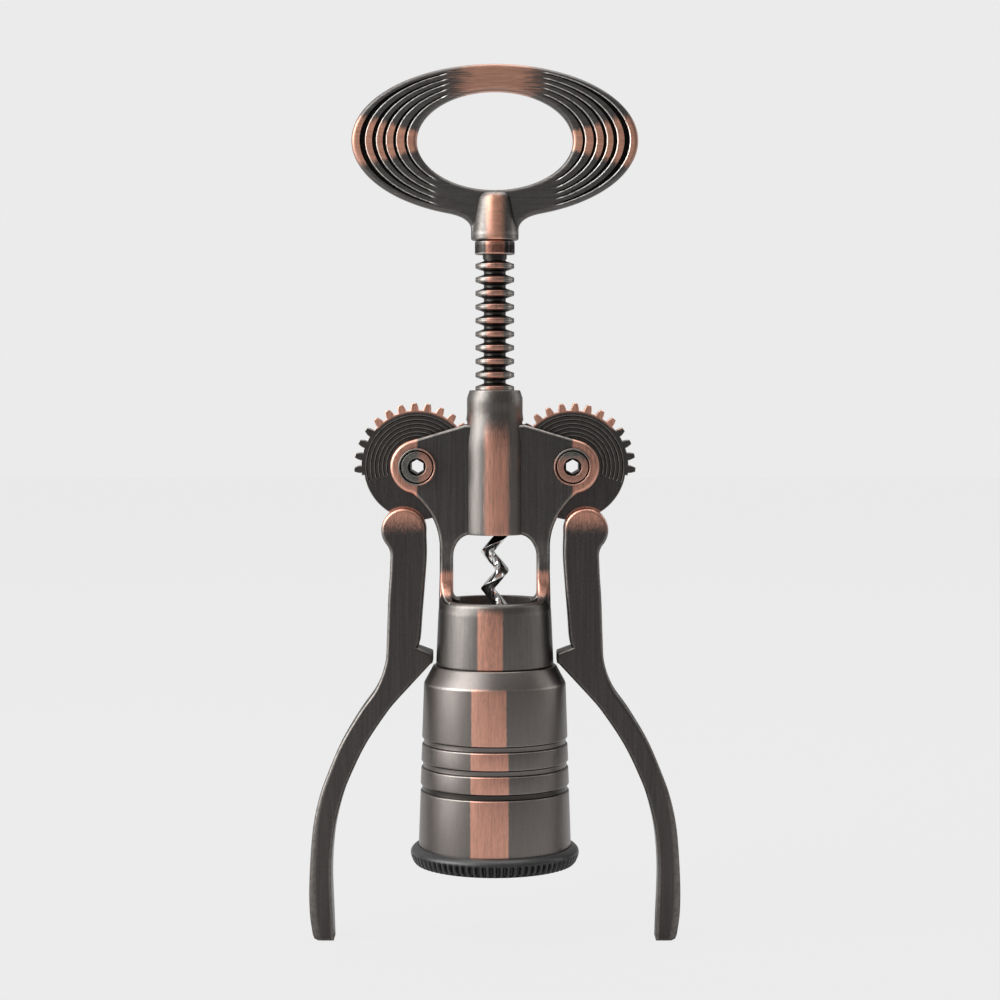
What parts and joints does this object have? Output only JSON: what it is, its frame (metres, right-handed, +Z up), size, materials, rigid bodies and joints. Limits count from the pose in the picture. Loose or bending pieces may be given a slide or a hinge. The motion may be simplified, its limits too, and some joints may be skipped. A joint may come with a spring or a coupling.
{
  "type": "wing corkscrew",
  "caption": "Wing corkscrew with an oval ring handle, round rack shaft, geared side levers, slotted frame and a grooved bell that centres the bottle's neck.",
  "frame": {"origin": "centre of the bell's mouth, where the bottle's neck goes in, on the worm's axis", "axes": "+Z up along the worm to the handle, +X to the right wing, +Y to the back"},
  "size_m": [0.1078, 0.049, 0.2532],
  "materials": {
    "frame_casting": "antiqued copper plate on die casting, brushed, rubbed bright on the proud faces",
    "bell_shell": "antiqued copper plate, turned and brushed",
    "base_ring_black": "black, satin",
    "guide_nylon": "moulded, matte",
    "pivot_hardware": "antiqued copper plate, turned",
    "washer_nylon": "matte",
    "collar_black": "darkened, satin",
    "handle_casting": "antiqued copper plate, rubbed bright at the ends and the top",
    "shaft_steel": "darkened plate, turned",
    "worm_steel": "dark polished",
    "pin_steel": "ground",
    "lever_casting": "antiqued copper plate, brushed, rubbed bright on the round ends and the upper teeth",
    "bush_bronze": "plain bearing bronze"
  },
  "bodies": {
    "frame": {"frame": "frame_casting", "bell": "bell_shell", "base_ring": "base_ring_black", "neck_guide": "guide_nylon", "left_pivot_screw": "pivot_hardware", "right_pivot_screw": "pivot_hardware", "left_pivot_nut": "pivot_hardware", "right_pivot_nut": "pivot_hardware", "left_thrust_washers": "washer_nylon", "right_thrust_washers": "washer_nylon"},
    "carrier": {"shaft_collar": "collar_black"},
    "spindle": {"handle": "handle_casting", "rack_shaft": "shaft_steel", "worm": "worm_steel", "handle_pin": "pin_steel", "worm_pin": "pin_steel"},
    "left_wing": {"left_wing": "lever_casting", "left_gear_bush": "bush_bronze"},
    "right_wing": {"right_wing": "lever_casting", "right_gear_bush": "bush_bronze"}
  },
  "joints": [
    {"name": "rack_slide", "type": "slide", "parent": "frame", "child": "carrier", "axis": [0, 0, -1], "range_m": [0, 0.043]},
    {"name": "screw_turn", "type": "hinge", "parent": "carrier", "child": "spindle", "pos_m": [0, 0, 0.14], "axis": [0, 0, 1], "continuous": true},
    {"name": "left_swing", "type": "hinge", "parent": "frame", "child": "left_wing", "pos_m": [-0.02237, 0, 0.1153], "axis": [0, 1, 0], "range_deg": [0, 141]},
    {"name": "right_swing", "type": "hinge", "parent": "frame", "child": "right_wing", "pos_m": [0.02237, 0, 0.1153], "axis": [0, -1, 0], "range_deg": [0, 141]}
  ],
  "couplings": [
    {"joint": "left_swing", "follows": "rack_slide", "rad_per_m": 57.143},
    {"joint": "right_swing", "follows": "rack_slide", "rad_per_m": 57.143}
  ]
}
